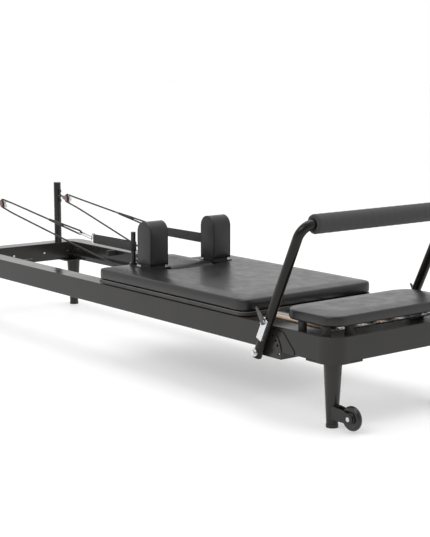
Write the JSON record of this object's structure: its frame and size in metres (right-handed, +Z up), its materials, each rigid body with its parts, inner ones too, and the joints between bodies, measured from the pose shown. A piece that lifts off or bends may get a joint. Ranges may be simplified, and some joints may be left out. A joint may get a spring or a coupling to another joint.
{
  "type": "pilates reformer",
  "caption": "Low bed frame on tapered legs with a sprung sliding carriage, shoulder rests, hinged headrest, swinging padded footbar, rope pulleys on posts and a standing platform.",
  "frame": {"origin": "middle of the whole outline, on the floor", "axes": "+X towards the foot end with the footbar, +Y towards the right side, +Z up"},
  "size_m": [2.671, 0.782, 0.7267],
  "materials": {
    "frame_paint": "satin black powder coat",
    "corner_castings": "satin black powder coat",
    "rubber_parts": "matte black",
    "bright_steel": "zinc plated",
    "spring_steel": "plated, some coppery",
    "boards": "stained black",
    "vinyl": "soft black upholstery vinyl",
    "webbing": "woven black webbing",
    "rope": "braided black cord",
    "wheel_plastic": "black nylon",
    "tyres": "smooth black, slightly glossy",
    "foam_grip": "matte dark grey foam",
    "lever_plastic": "dark grey dipped grip"
  },
  "bodies": {
    "frame": {"left_rail": "frame_paint", "right_rail": "frame_paint", "foot_crossbar": "frame_paint", "head_crossbar": "frame_paint", "frame_corners": "corner_castings", "corner_plates": "frame_paint", "left_foot_leg": "frame_paint", "right_foot_leg": "frame_paint", "left_head_leg": "frame_paint", "right_head_leg": "frame_paint", "leg_pads": "rubber_parts", "running_tracks": "frame_paint", "caster_forks": "frame_paint", "frame_screws": "bright_steel", "left_footbar_bracket": "frame_paint", "right_footbar_bracket": "frame_paint", "pivot_bolts": "bright_steel", "platform_board": "boards", "platform_pad": "vinyl", "platform_spacers": "rubber_parts", "spring_bar": "bright_steel", "carriage_stops": "rubber_parts", "left_riser": "frame_paint", "right_riser": "frame_paint", "riser_eyes": "frame_paint", "springs": "spring_steel"},
    "carriage": {"carriage_frame": "frame_paint", "carriage_board": "boards", "carriage_pad": "vinyl", "wheel_axles": "bright_steel", "left_shoulder_bracket": "frame_paint", "right_shoulder_bracket": "frame_paint", "left_shoulder_rest": "vinyl", "right_shoulder_rest": "vinyl", "left_handle_strap": "webbing", "right_handle_strap": "webbing", "handle_hardware": "bright_steel", "left_rope": "rope", "right_rope": "rope", "rope_sleeves": "rope"},
    "headrest": {"headrest_board": "boards", "headrest_pad": "vinyl"},
    "footbar": {"footbar_tube": "frame_paint", "footbar_grip": "foam_grip", "latch_housings": "bright_steel"},
    "left_foot_wheel": {"left_foot_wheel": "wheel_plastic"},
    "left_head_wheel": {"left_head_wheel": "wheel_plastic"},
    "left_transport_wheel": {"left_transport_wheel": "tyres"},
    "left_pulley_block": {"left_pulley_block": "bright_steel"},
    "left_sheave": {"left_sheave": "wheel_plastic"},
    "left_latch_lever": {"left_latch_lever": "lever_plastic"},
    "left_latch_pin": {"left_latch_pin": "bright_steel"},
    "right_foot_wheel": {"right_foot_wheel": "wheel_plastic"},
    "right_head_wheel": {"right_head_wheel": "wheel_plastic"},
    "right_transport_wheel": {"right_transport_wheel": "tyres"},
    "right_pulley_block": {"right_pulley_block": "bright_steel"},
    "right_sheave": {"right_sheave": "wheel_plastic"},
    "right_latch_lever": {"right_latch_lever": "lever_plastic"},
    "right_latch_pin": {"right_latch_pin": "bright_steel"}
  },
  "joints": [
    {"name": "carriage_slide", "type": "slide", "parent": "frame", "child": "carriage", "axis": [-1, 0, 0], "range_m": [0, 0.74], "stiffness_N_per_m": 250, "springref_m": -0.1, "deforming": ["springs", "left_rope", "right_rope", "rope_sleeves"]},
    {"name": "headrest_hinge", "type": "hinge", "parent": "carriage", "child": "headrest", "pos_m": [0.0575, 0, 0.375], "axis": [0, 1, 0], "range_deg": [0, 30]},
    {"name": "footbar_hinge", "type": "hinge", "parent": "frame", "child": "footbar", "pos_m": [0.9185, 0, 0.226], "axis": [0, 1, 0], "range_deg": [-22, 63]},
    {"name": "left_foot_wheel_roll", "type": "hinge", "parent": "carriage", "child": "left_foot_wheel", "pos_m": [0.7005, -0.238, 0.2883], "axis": [0, -1, 0], "continuous": true},
    {"name": "left_head_wheel_roll", "type": "hinge", "parent": "carriage", "child": "left_head_wheel", "pos_m": [-0.0395, -0.238, 0.2883], "axis": [0, -1, 0], "continuous": true},
    {"name": "left_transport_wheel_spin", "type": "hinge", "parent": "frame", "child": "left_transport_wheel", "pos_m": [1.2925, -0.267, 0.05], "axis": [0, 1, 0], "continuous": true},
    {"name": "left_pulley_swing", "type": "hinge", "parent": "frame", "child": "left_pulley_block", "pos_m": [-1.2435, -0.181, 0.56], "axis": [0, 1, 0], "range_deg": [-15, 15]},
    {"name": "left_sheave_spin", "type": "hinge", "parent": "left_pulley_block", "child": "left_sheave", "pos_m": [-1.17598, -0.181, 0.55195], "axis": [0, 1, 0], "continuous": true},
    {"name": "left_latch_lever_hinge", "type": "hinge", "parent": "footbar", "child": "left_latch_lever", "pos_m": [0.97259, -0.3865, 0.34201], "axis": [0.8111, 0, 0.585], "range_deg": [0, 70], "stiffness_Nm_per_rad": 0.05, "springref_deg": -17.19},
    {"name": "left_latch_pin_slide", "type": "slide", "parent": "footbar", "child": "left_latch_pin", "axis": [0, -1, 0], "range_m": [0, 0.008]},
    {"name": "right_foot_wheel_roll", "type": "hinge", "parent": "carriage", "child": "right_foot_wheel", "pos_m": [0.7005, 0.238, 0.2883], "axis": [0, -1, 0], "continuous": true},
    {"name": "right_head_wheel_roll", "type": "hinge", "parent": "carriage", "child": "right_head_wheel", "pos_m": [-0.0395, 0.238, 0.2883], "axis": [0, -1, 0], "continuous": true},
    {"name": "right_transport_wheel_spin", "type": "hinge", "parent": "frame", "child": "right_transport_wheel", "pos_m": [1.2925, 0.267, 0.05], "axis": [0, 1, 0], "continuous": true},
    {"name": "right_pulley_swing", "type": "hinge", "parent": "frame", "child": "right_pulley_block", "pos_m": [-1.2435, 0.181, 0.56], "axis": [0, 1, 0], "range_deg": [-15, 15]},
    {"name": "right_sheave_spin", "type": "hinge", "parent": "right_pulley_block", "child": "right_sheave", "pos_m": [-1.17598, 0.181, 0.55195], "axis": [0, 1, 0], "continuous": true},
    {"name": "right_latch_lever_hinge", "type": "hinge", "parent": "footbar", "child": "right_latch_lever", "pos_m": [0.97259, 0.3865, 0.34201], "axis": [-0.8111, 0, -0.585], "range_deg": [0, 70], "stiffness_Nm_per_rad": 0.05, "springref_deg": -17.19},
    {"name": "right_latch_pin_slide", "type": "slide", "parent": "footbar", "child": "right_latch_pin", "axis": [0, 1, 0], "range_m": [0, 0.008]}
  ],
  "couplings": [
    {"joint": "left_foot_wheel_roll", "follows": "carriage_slide", "rad_per_m": 45.455},
    {"joint": "left_head_wheel_roll", "follows": "carriage_slide", "rad_per_m": 45.455},
    {"joint": "left_latch_pin_slide", "follows": "left_latch_lever_hinge", "m_per_rad": 0.0065},
    {"joint": "right_foot_wheel_roll", "follows": "carriage_slide", "rad_per_m": 45.455},
    {"joint": "right_head_wheel_roll", "follows": "carriage_slide", "rad_per_m": 45.455},
    {"joint": "right_latch_pin_slide", "follows": "right_latch_lever_hinge", "m_per_rad": 0.0065}
  ]
}
